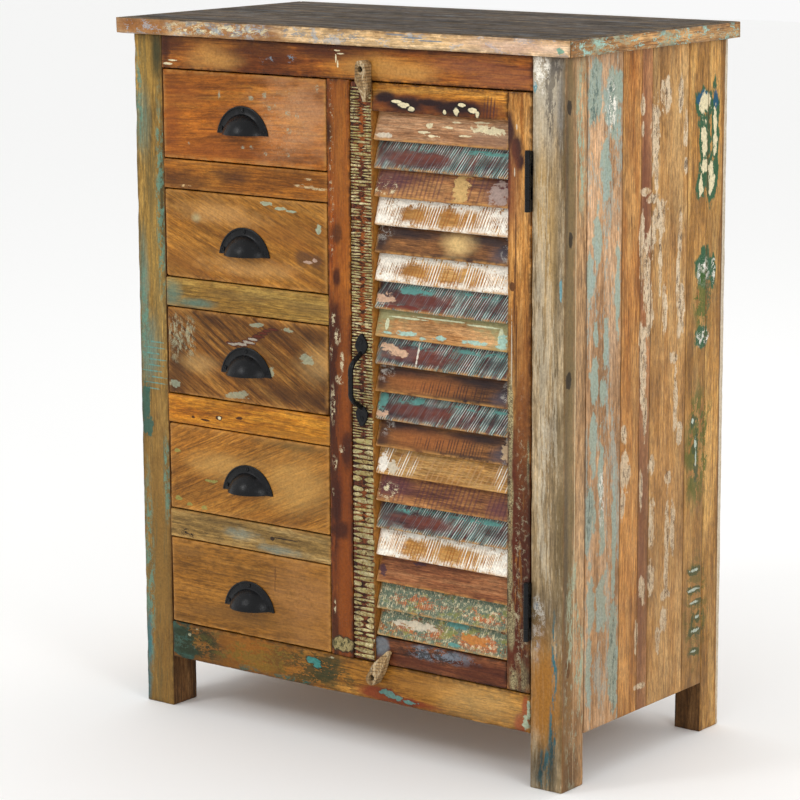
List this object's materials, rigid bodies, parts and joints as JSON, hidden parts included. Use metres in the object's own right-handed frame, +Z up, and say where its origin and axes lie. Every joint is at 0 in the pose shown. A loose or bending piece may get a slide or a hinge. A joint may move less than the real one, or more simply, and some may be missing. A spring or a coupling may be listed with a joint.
{
  "type": "highboard",
  "caption": "Tall narrow timber cabinet on square legs: a column of drawers with cup pulls beside a louvred door with a bow handle and two wooden turn latches, under a flat top.",
  "frame": {"origin": "on the floor, in the middle of the box that the whole piece fills with its door handle", "axes": "+X to the right seen from the front, +Y from the front to the back, +Z up; the drawers and the door face -Y"},
  "size_m": [0.752, 0.4137, 0.97],
  "materials": {
    "reclaimed_timber": "old timber with paint remains under satin wax",
    "painted_timber": "old timber with scraped paint under satin wax",
    "top_timber": "dark worn timber, satin",
    "inner_timber": "plain sawn timber, matt",
    "black_iron": "black satin"
  },
  "bodies": {
    "root": {"top_planks": "top_timber", "top_edging": "top_timber", "leg_front_left": "reclaimed_timber", "leg_front_right": "reclaimed_timber", "leg_back_left": "reclaimed_timber", "leg_back_right": "reclaimed_timber", "top_rail": "reclaimed_timber", "bottom_rail": "reclaimed_timber", "drawer_rails": "reclaimed_timber", "centre_post": "reclaimed_timber", "partition": "inner_timber", "side_planks_left": "reclaimed_timber", "side_planks_right": "reclaimed_timber", "back_panel": "inner_timber", "back_rails": "inner_timber", "cabinet_floor": "inner_timber", "shelf": "inner_timber", "cleats": "inner_timber", "drawer_runners": "inner_timber", "hinge_frame_leaves": "black_iron", "hinge_pins": "black_iron", "hinge_frame_screws": "black_iron", "latch_screws": "black_iron"},
    "door": {"door_stile_left": "painted_timber", "door_stile_right": "painted_timber", "door_rail_top": "painted_timber", "door_rail_bottom": "painted_timber", "door_slats": "painted_timber", "door_handle": "black_iron", "door_handle_screws": "black_iron", "hinge_door_leaves": "black_iron", "hinge_door_screws": "black_iron"},
    "latch_top": {"latch_top": "painted_timber"},
    "latch_bottom": {"latch_bottom": "painted_timber"},
    "drawer_1": {"drawer_1_front": "reclaimed_timber", "drawer_1_box": "inner_timber", "drawer_1_bottom": "inner_timber", "drawer_1_pull": "black_iron", "drawer_1_pull_screws": "black_iron"},
    "drawer_2": {"drawer_2_front": "reclaimed_timber", "drawer_2_box": "inner_timber", "drawer_2_bottom": "inner_timber", "drawer_2_pull": "black_iron", "drawer_2_pull_screws": "black_iron"},
    "drawer_3": {"drawer_3_front": "reclaimed_timber", "drawer_3_box": "inner_timber", "drawer_3_bottom": "inner_timber", "drawer_3_pull": "black_iron", "drawer_3_pull_screws": "black_iron"},
    "drawer_4": {"drawer_4_front": "reclaimed_timber", "drawer_4_box": "inner_timber", "drawer_4_bottom": "inner_timber", "drawer_4_pull": "black_iron", "drawer_4_pull_screws": "black_iron"},
    "drawer_5": {"drawer_5_front": "reclaimed_timber", "drawer_5_box": "inner_timber", "drawer_5_bottom": "inner_timber", "drawer_5_pull": "black_iron", "drawer_5_pull_screws": "black_iron"}
  },
  "joints": [
    {"name": "door_hinge", "type": "hinge", "parent": "root", "child": "door", "pos_m": [0.30675, -0.185, 0.5135], "axis": [0, 0, 1], "range_deg": [0, 165]},
    {"name": "drawer_1_slide", "type": "slide", "parent": "root", "child": "drawer_1", "axis": [0, -1, 0], "range_m": [0, 0.24]},
    {"name": "drawer_2_slide", "type": "slide", "parent": "root", "child": "drawer_2", "axis": [0, -1, 0], "range_m": [0, 0.24]},
    {"name": "drawer_3_slide", "type": "slide", "parent": "root", "child": "drawer_3", "axis": [0, -1, 0], "range_m": [0, 0.24]},
    {"name": "drawer_4_slide", "type": "slide", "parent": "root", "child": "drawer_4", "axis": [0, -1, 0], "range_m": [0, 0.24]},
    {"name": "drawer_5_slide", "type": "slide", "parent": "root", "child": "drawer_5", "axis": [0, -1, 0], "range_m": [0, 0.24]},
    {"name": "latch_top_turn", "type": "hinge", "parent": "root", "child": "latch_top", "pos_m": [0.0473, -0.177, 0.919], "axis": [0, 1, 0], "range_deg": [-95, 95]},
    {"name": "latch_bottom_turn", "type": "hinge", "parent": "root", "child": "latch_bottom", "pos_m": [0.06, -0.177, 0.108], "axis": [0, 1, 0], "continuous": true}
  ]
}
